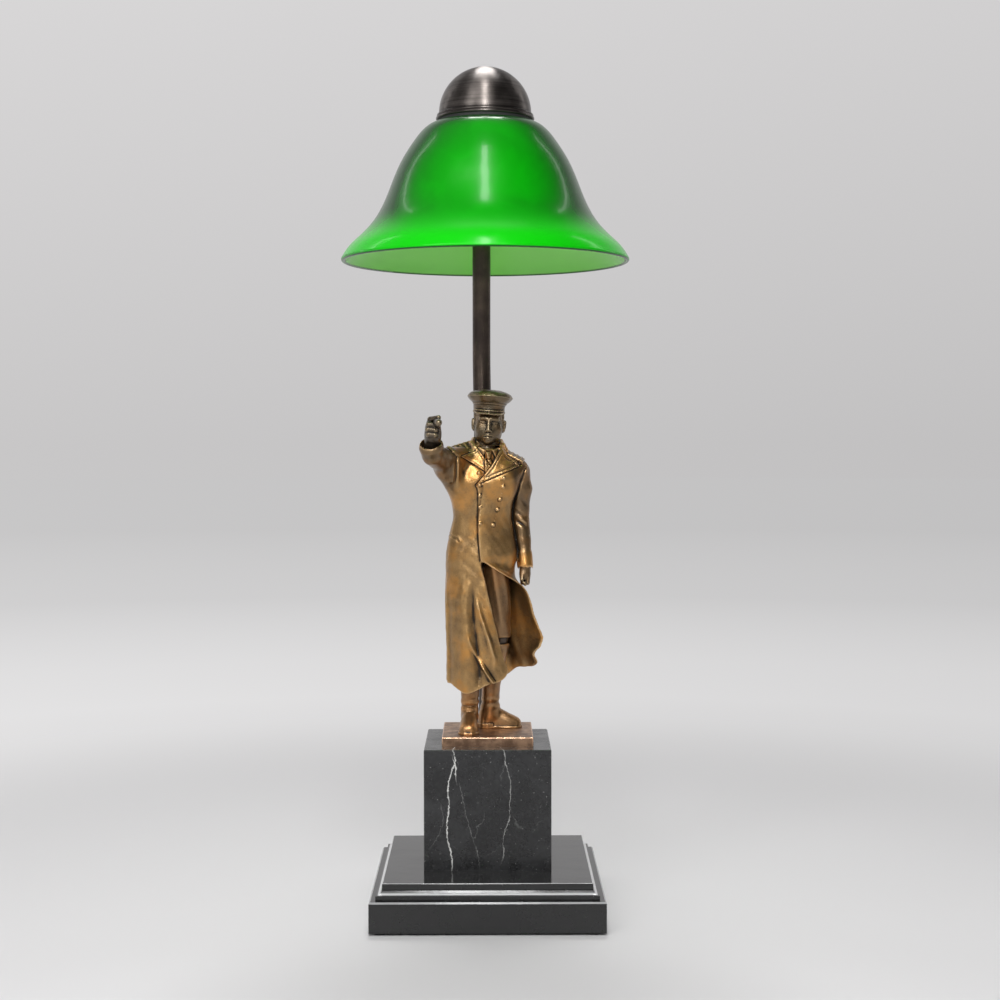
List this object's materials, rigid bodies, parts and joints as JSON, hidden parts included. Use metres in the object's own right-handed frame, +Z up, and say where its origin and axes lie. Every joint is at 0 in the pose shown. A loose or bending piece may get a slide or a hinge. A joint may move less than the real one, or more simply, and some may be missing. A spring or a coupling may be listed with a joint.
{
  "type": "figural table lamp",
  "caption": "Table lamp with a bronze figure in a greatcoat on a marble block and moulded plinth, a bent stem behind it, and a glass bell shade under a metal dome.",
  "frame": {"origin": "centre of the base's underside, where it meets the table", "axes": "+Z up along the lamp's height; -Y is the front, the way the figure faces; +X is to the right as seen from the front"},
  "size_m": [0.1884, 0.1884, 0.551],
  "materials": {
    "felt": "matt felt",
    "plinth": "polished black marble",
    "block": "honed black marble with white veins",
    "rubber": "matt",
    "bronze": "patinated bronze, rubbed highlights",
    "stem": "dark patinated, satin",
    "steel": "zinc plated",
    "dome": "antiqued, brushed round the axis",
    "shade": "cased glass, green outside and opal inside, polished",
    "holder": "satin",
    "ceramic": "matt",
    "contact": "plain",
    "bulb_base": "gloss",
    "bulb": "opal"
  },
  "bodies": {
    "stand": {"felt_pad": "felt", "plinth": "plinth", "marble_block": "block", "cord_inlet_bush": "rubber", "shade_ring": "rubber", "bronze_plate": "bronze", "figure_coat": "bronze", "figure_head": "bronze", "figure_cap": "bronze", "raised_arm": "bronze", "lowered_arm": "bronze", "figure_boots": "bronze", "stem_tube": "stem", "stem_collar": "stem", "tie_pipe": "steel", "centre_bolt": "steel", "base_washers": "steel", "base_nuts": "steel", "figure_screws": "steel", "fitter_plate": "steel", "stem_top_nut": "steel", "holder_bridge": "steel", "bridge_screws": "steel", "dome_stud": "steel", "stud_lock_nut": "steel", "holder_cap": "holder", "holder_skirt": "holder", "holder_insert": "ceramic", "holder_shell": "contact", "holder_contact": "contact"},
    "shade": {"shade_glass": "shade"},
    "dome": {"dome_shell": "dome", "dome_boss": "dome", "dome_gasket": "rubber"},
    "bulb": {"bulb_glass": "bulb", "bulb_cap": "contact", "bulb_contact": "bulb_base"}
  },
  "joints": [
    {"name": "shade_lift", "type": "slide", "parent": "stand", "child": "shade", "axis": [0, 0, 1], "range_m": [0, 0.125]},
    {"name": "dome_unscrew", "type": "hinge", "parent": "shade", "child": "dome", "pos_m": [-0.0012, 0, 0.5165], "axis": [0, 0, 1], "range_deg": [0, 1440]},
    {"name": "bulb_unscrew", "type": "slide", "parent": "stand", "child": "bulb", "axis": [0, 0, -1], "range_m": [0, 0.024]}
  ]
}
